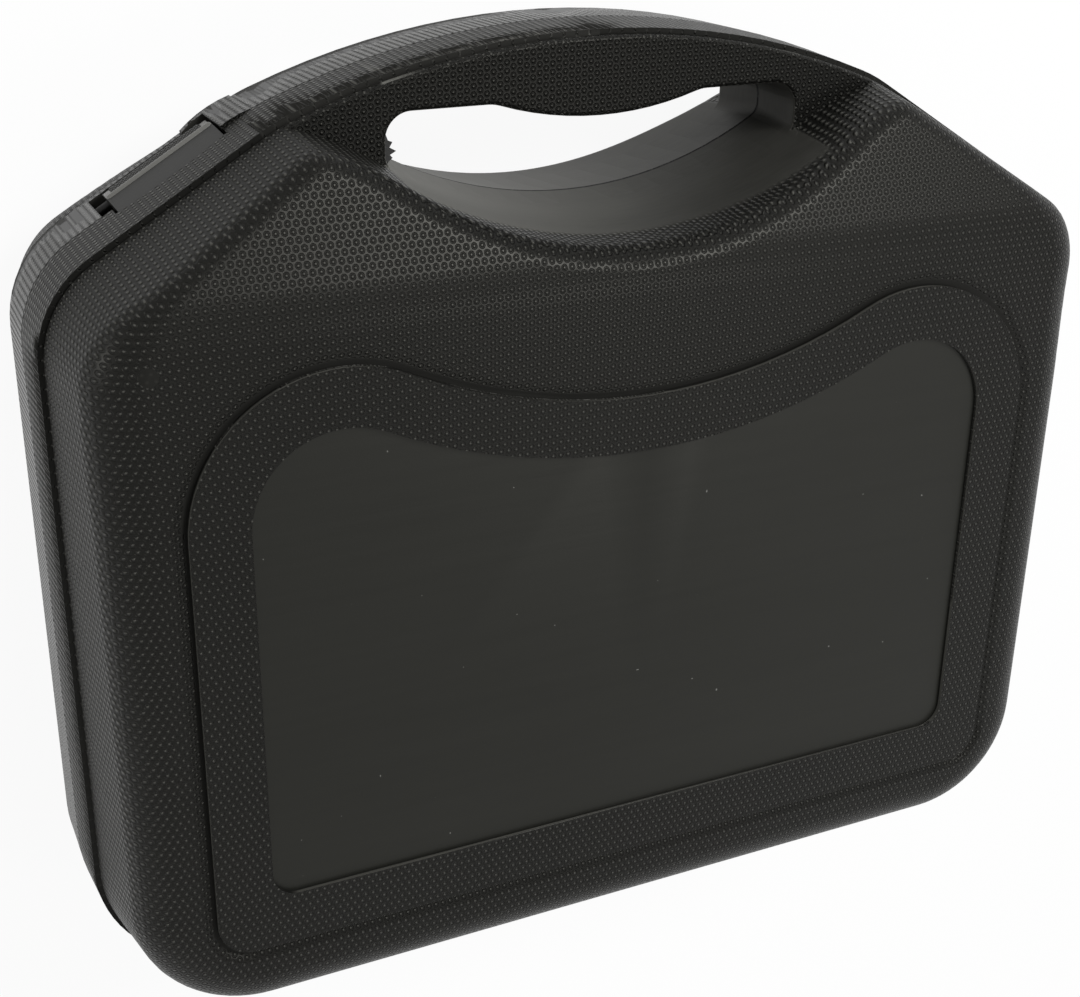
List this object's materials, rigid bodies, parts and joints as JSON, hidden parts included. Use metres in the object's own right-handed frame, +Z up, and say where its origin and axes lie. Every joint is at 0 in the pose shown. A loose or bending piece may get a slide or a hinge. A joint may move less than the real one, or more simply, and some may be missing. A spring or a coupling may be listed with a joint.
{
  "type": "hard tool case",
  "caption": "Hard plastic case for a hand tool: pebbled shell with a wave-topped pad, a hand opening under a finger-grip handle, hinged lid, shoulder latches and pocketed liners.",
  "frame": {"origin": "under the middle of the case's outer box, on the surface that it lies on", "axes": "+X along the hinge, +Y from the hinge edge to the handle, +Z up out of the lid's face; the case lies on its back half"},
  "size_m": [0.34, 0.301, 0.11],
  "materials": {
    "shell": "pebbled",
    "liner": "fine matte",
    "latch": "pebbled top, smooth ridge",
    "foot": "smooth",
    "pin": "satin"
  },
  "bodies": {
    "base": {"base_shell": "shell", "base_liner": "liner", "base_foot_right": "foot", "base_foot_left": "foot", "hinge_pin_right": "pin", "hinge_pin_left": "pin", "latch_pin_right": "latch", "latch_pin_left": "latch"},
    "lid": {"lid_shell": "shell", "lid_liner": "liner", "lid_foot": "foot"},
    "right_latch": {"latch_right": "latch"},
    "left_latch": {"latch_left": "latch"}
  },
  "joints": [
    {"name": "lid_hinge", "type": "hinge", "parent": "base", "child": "lid", "pos_m": [0, -0.14555, 0.0512], "axis": [1, 0, 0], "range_deg": [0, 160]},
    {"name": "right_latch_pivot", "type": "hinge", "parent": "base", "child": "right_latch", "pos_m": [0.12339, 0.11235, 0.0357], "axis": [-0.8542, 0.5199, 0], "range_deg": [0, 90]},
    {"name": "left_latch_pivot", "type": "hinge", "parent": "base", "child": "left_latch", "pos_m": [-0.12339, 0.11235, 0.0357], "axis": [-0.8542, -0.5199, 0], "range_deg": [0, 90]}
  ]
}
